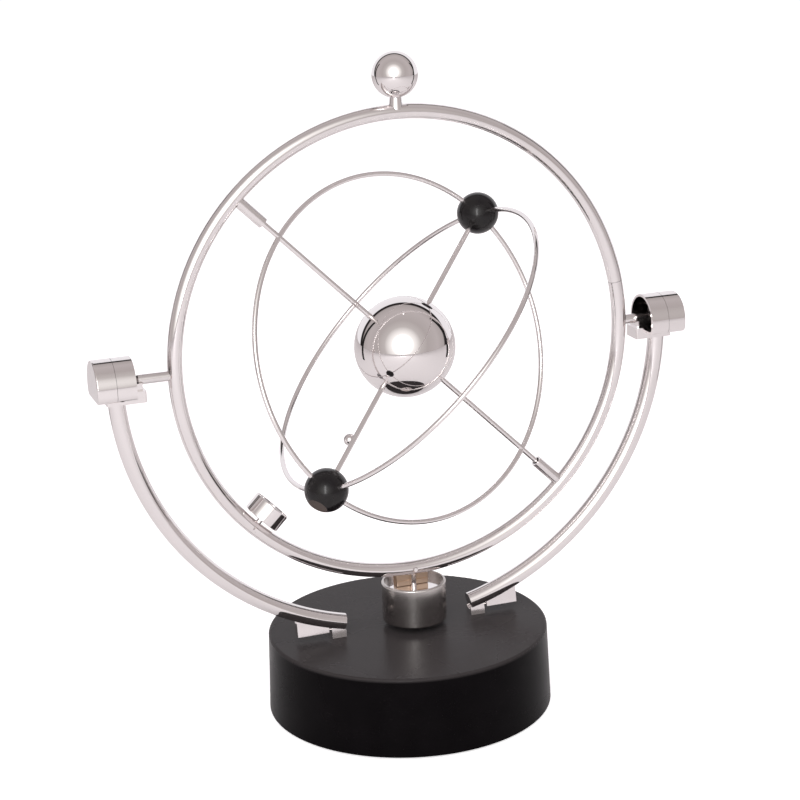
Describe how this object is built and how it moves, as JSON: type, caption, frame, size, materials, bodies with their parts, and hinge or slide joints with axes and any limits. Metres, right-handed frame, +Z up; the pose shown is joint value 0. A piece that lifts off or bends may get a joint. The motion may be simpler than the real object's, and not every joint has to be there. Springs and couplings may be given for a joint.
{
  "type": "magnetic orbital desk mobile",
  "caption": "Desk mobile: a round battery base holds curved arms, a swinging ring with a magnet drum, and a wire orbit of balls that spins on a slanted axle.",
  "frame": {"origin": "middle of the footprint, on the surface the rubber feet rest on", "axes": "+Z up, +X along the ring's swing axle to the right-hand arm, -Y to the front"},
  "size_m": [0.2516, 0.1454, 0.2749],
  "materials": {
    "base_plastic": "satin moulded plastic",
    "floor_plastic": "matte moulded plastic",
    "door_plastic": "matte moulded plastic",
    "rubber": "matte",
    "screw_steel": "zinc plated",
    "cell_wrap": "plain wrap",
    "spring_steel": "nickel plated",
    "spool_plastic": "matte",
    "copper": "enamelled copper wire",
    "iron": "bare",
    "board": "solder mask",
    "board_part": "moulded",
    "tube_chrome": "polished",
    "foot_chrome": "polished",
    "cap_chrome": "polished",
    "seat_steel": "plated",
    "ring_chrome": "polished",
    "stub_steel": "satin plated",
    "ball_chrome": "mirror polished",
    "collar_chrome": "polished",
    "drum_chrome": "polished",
    "magnet": "nickel plated magnet",
    "post_steel": "plated",
    "bar_brass": "satin",
    "cup_chrome": "polished",
    "sleeve_steel": "satin plated",
    "wire_chrome": "polished",
    "hub_plastic": "matte",
    "black_ball": "satin",
    "plug_brown": "matte"
  },
  "bodies": {
    "stand": {"base_shell": "base_plastic", "base_floor": "floor_plastic", "rubber_feet": "rubber", "base_screws": "screw_steel", "batteries": "cell_wrap", "battery_contacts": "spring_steel", "coil_spool": "spool_plastic", "coil_winding": "copper", "coil_core": "iron", "circuit_board": "board", "board_parts": "board_part", "arm_end_plugs": "tube_chrome", "arm_screws": "screw_steel", "arm_right": "tube_chrome", "arm_left": "tube_chrome", "arm_foot_right": "foot_chrome", "arm_foot_left": "foot_chrome", "cap_inner_right": "cap_chrome", "cap_inner_left": "cap_chrome", "cap_outer_right": "cap_chrome", "cap_outer_left": "cap_chrome", "bearing_seat_right": "seat_steel", "bearing_seat_left": "seat_steel"},
    "battery_door": {"battery_door": "door_plastic"},
    "ring": {"swing_ring": "ring_chrome", "ring_joint_pin": "ring_chrome", "top_ball": "ball_chrome", "top_ball_stem": "collar_chrome", "drum_cup": "drum_chrome", "drum_lid": "drum_chrome", "drum_magnet": "magnet", "drum_post": "post_steel", "drum_pin": "post_steel", "drum_bar": "bar_brass", "magnet_cup": "cup_chrome", "cup_magnet": "magnet", "cup_post": "post_steel", "cup_pin": "post_steel", "sleeve_upper": "sleeve_steel", "sleeve_lower": "sleeve_steel", "axle_stub_right": "stub_steel", "axle_stub_left": "stub_steel"},
    "orbit": {"spin_axle": "wire_chrome", "centre_ball": "ball_chrome", "centre_hub": "hub_plastic", "balance_ball": "ball_chrome", "cross_wire_upper": "wire_chrome", "cross_wire_lower": "wire_chrome", "black_ball_upper": "black_ball", "black_ball_lower": "black_ball", "ball_magnet_upper": "magnet", "ball_magnet_lower": "magnet", "ball_plug_upper": "plug_brown", "ball_plug_lower": "plug_brown", "hoop_spin_1": "wire_chrome", "hoop_spin_2": "wire_chrome", "hoop_cross_1": "wire_chrome", "hoop_cross_2": "wire_chrome"}
  },
  "joints": [
    {"name": "ring_swing", "type": "hinge", "parent": "stand", "child": "ring", "pos_m": [0.0034, 0, 0.155], "axis": [1, 0, 0], "continuous": true},
    {"name": "orbit_spin", "type": "hinge", "parent": "ring", "child": "orbit", "pos_m": [0.0034, 0, 0.155], "axis": [0.7071, 0, -0.7071], "continuous": true},
    {"name": "battery_door_hinge", "type": "hinge", "parent": "stand", "child": "battery_door", "pos_m": [0, 0.0263, 0.001], "axis": [1, 0, 0], "range_deg": [0, 75]}
  ]
}
